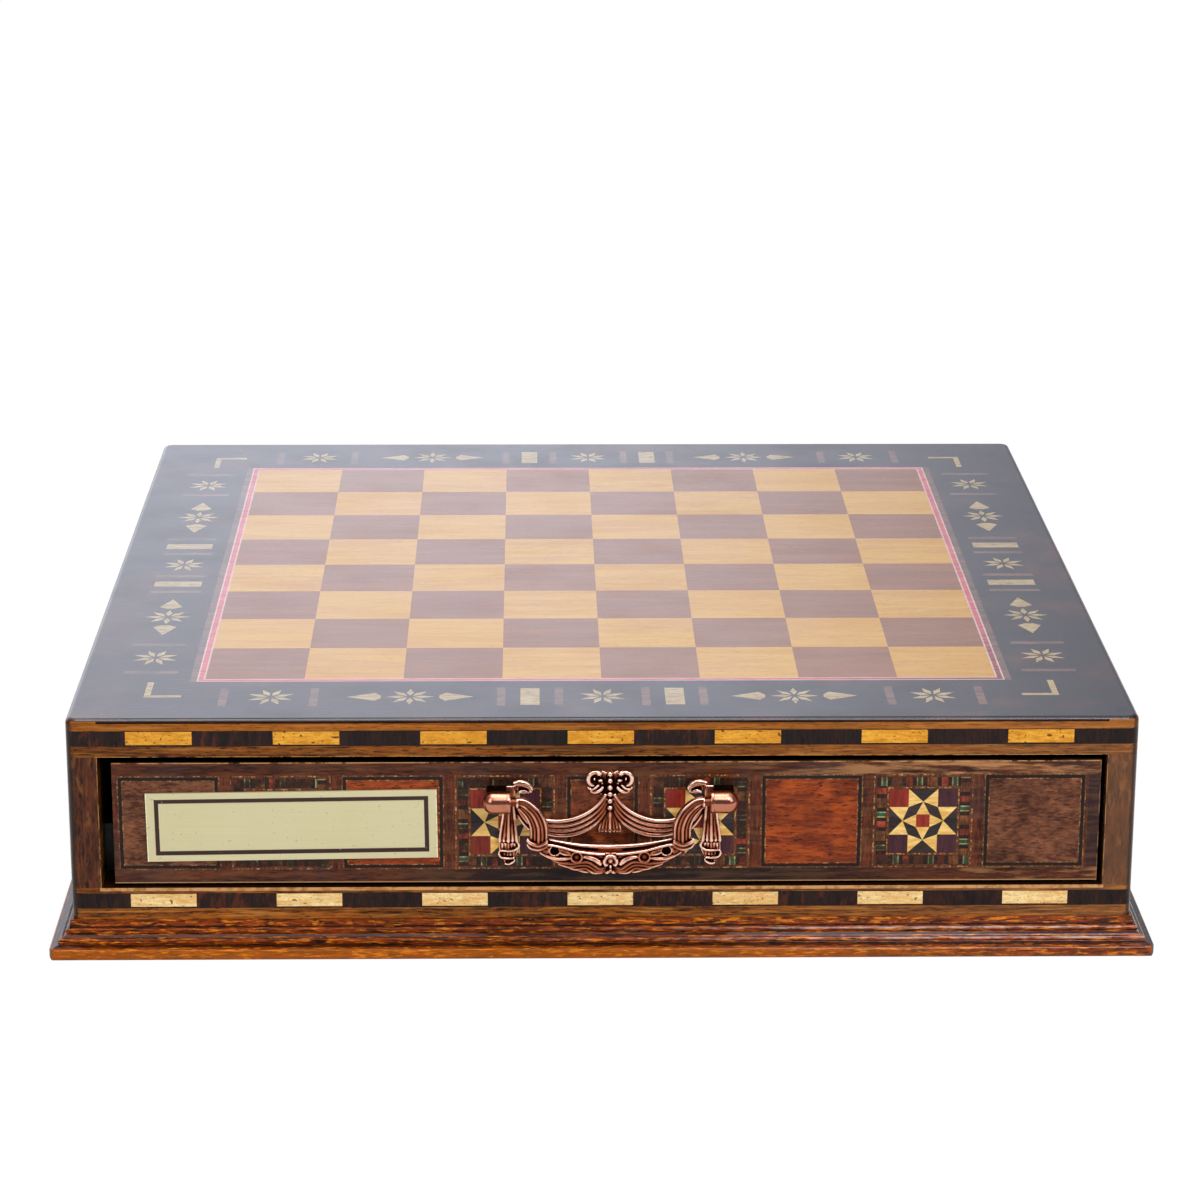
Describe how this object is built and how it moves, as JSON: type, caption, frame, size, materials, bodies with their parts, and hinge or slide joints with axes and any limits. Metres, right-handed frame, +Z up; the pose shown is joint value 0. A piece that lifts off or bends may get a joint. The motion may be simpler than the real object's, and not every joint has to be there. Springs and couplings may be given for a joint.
{
  "type": "chess box with drawers",
  "caption": "Inlaid wooden chess board on a box with a drawer at the front and one at the back, swag bail handles, banded edges and a moulded plinth.",
  "frame": {"origin": "centre of the footprint on the surface that the plinth stands on", "axes": "+X to the right of someone facing the front drawer, +Y to the back, +Z up"},
  "size_m": [0.396, 0.4072, 0.0885],
  "materials": {
    "case_walnut": "gloss varnish",
    "plinth_walnut": "gloss varnish",
    "border_wood": "gloss varnish",
    "ebony_veneer": "gloss varnish",
    "light_square_wood": "gloss varnish",
    "dark_square_wood": "gloss varnish",
    "maple_inlay": "gloss varnish",
    "amber_inlay": "gloss varnish",
    "rose_inlay": "gloss varnish",
    "brown_inlay": "gloss varnish",
    "red_inlay": "gloss varnish",
    "mosaic": "gloss varnish",
    "drawer_wood": "satin varnish",
    "panel_wood": "satin varnish",
    "inner_wood": "bare planed wood",
    "velvet": "short pile velvet",
    "baize": "felted wool",
    "copper": "antiqued copper plate on cast metal",
    "nameplate_metal": "satin, with a dark sunk line",
    "screw_steel": "zinc plated"
  },
  "bodies": {
    "case": {"top_board": "case_walnut", "bottom_board": "case_walnut", "left_side_panel": "case_walnut", "right_side_panel": "case_walnut", "centre_divider": "inner_wood", "drawer_guides": "inner_wood", "plinth_front": "plinth_walnut", "plinth_rear": "plinth_walnut", "plinth_left": "plinth_walnut", "plinth_right": "plinth_walnut", "plinth_screws": "screw_steel", "base_baize": "baize", "edge_bands": "ebony_veneer", "upper_bars": "amber_inlay", "lower_bars": "maple_inlay", "border_veneer": "border_wood", "light_squares": "light_square_wood", "dark_squares": "dark_square_wood", "cream_lines": "maple_inlay", "rose_line_inlay": "rose_inlay", "border_stars": "maple_inlay", "border_arrows": "maple_inlay", "border_bars": "maple_inlay", "corner_brackets": "maple_inlay", "border_ties": "brown_inlay"},
    "front_drawer": {"front_drawer_front": "drawer_wood", "front_drawer_sides": "inner_wood", "front_drawer_back": "inner_wood", "front_drawer_bottom": "inner_wood", "front_drawer_velvet": "velvet", "front_drawer_veneer": "drawer_wood", "front_drawer_panels": "panel_wood", "front_drawer_black_lines": "ebony_veneer", "front_drawer_light_lines": "amber_inlay", "front_drawer_mosaics": "mosaic", "front_drawer_star_light": "maple_inlay", "front_drawer_star_dark": "ebony_veneer", "front_drawer_star_squares": "red_inlay", "front_handle_plate": "copper", "front_handle_posts": "copper", "front_handle_screws": "screw_steel", "nameplate": "nameplate_metal"},
    "front_bail": {"front_handle_bail": "copper"},
    "rear_drawer": {"rear_drawer_front": "drawer_wood", "rear_drawer_sides": "inner_wood", "rear_drawer_back": "inner_wood", "rear_drawer_bottom": "inner_wood", "rear_drawer_velvet": "velvet", "rear_drawer_veneer": "drawer_wood", "rear_drawer_panels": "panel_wood", "rear_drawer_black_lines": "ebony_veneer", "rear_drawer_light_lines": "amber_inlay", "rear_drawer_mosaics": "mosaic", "rear_drawer_star_light": "maple_inlay", "rear_drawer_star_dark": "ebony_veneer", "rear_drawer_star_squares": "red_inlay", "rear_handle_plate": "copper", "rear_handle_posts": "copper", "rear_handle_screws": "screw_steel"},
    "rear_bail": {"rear_handle_bail": "copper"}
  },
  "joints": [
    {"name": "front_drawer_slide", "type": "slide", "parent": "case", "child": "front_drawer", "axis": [0, -1, 0], "range_m": [0, 0.13]},
    {"name": "front_bail_hinge", "type": "hinge", "parent": "front_drawer", "child": "front_bail", "pos_m": [0.00235, -0.1995, 0.0609], "axis": [-1, 0, 0], "range_deg": [-20, 90]},
    {"name": "rear_drawer_slide", "type": "slide", "parent": "case", "child": "rear_drawer", "axis": [0, 1, 0], "range_m": [0, 0.13]},
    {"name": "rear_bail_hinge", "type": "hinge", "parent": "rear_drawer", "child": "rear_bail", "pos_m": [-0.00235, 0.1995, 0.0609], "axis": [1, 0, 0], "range_deg": [-20, 90]}
  ]
}
